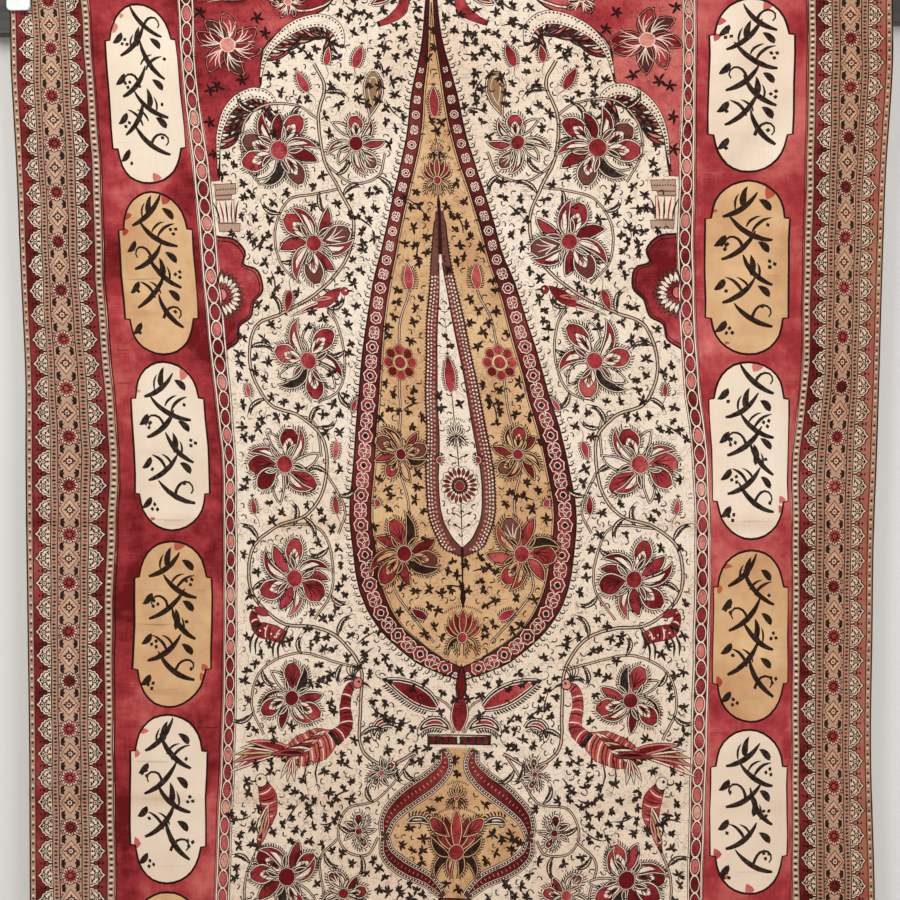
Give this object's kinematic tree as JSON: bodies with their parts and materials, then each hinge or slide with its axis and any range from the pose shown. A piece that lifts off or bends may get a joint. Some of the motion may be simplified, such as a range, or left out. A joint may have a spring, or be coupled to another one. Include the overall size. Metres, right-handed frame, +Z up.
{
  "type": "kalamkari panel on a hanging rail",
  "caption": "Printed and painted cotton hanging with an arched field, red cartouche bands and leafy borders, gripped to a flat dark timber rail.",
  "frame": {"origin": "middle of the rail's back face, in the plane of the wall", "axes": "+Z up, the cloth's face and the rail's front look along -Y, +X to the right for someone who faces the cloth"},
  "size_m": [1.32, 0.0436, 1.6194],
  "materials": {
    "printed_cotton": "matte hand-printed and painted plain-weave cotton, madder red, brown-black, tan and cream",
    "dark_timber": "dark stained, satin",
    "pale_plastic": "pale translucent grey-green, glossy"
  },
  "bodies": {
    "root": {"panel": "printed_cotton", "rail": "dark_timber", "tab_left_corner": "pale_plastic", "tab_left": "pale_plastic", "tab_middle": "pale_plastic", "tab_right": "pale_plastic", "tab_right_corner": "pale_plastic"}
  },
  "joints": []
}
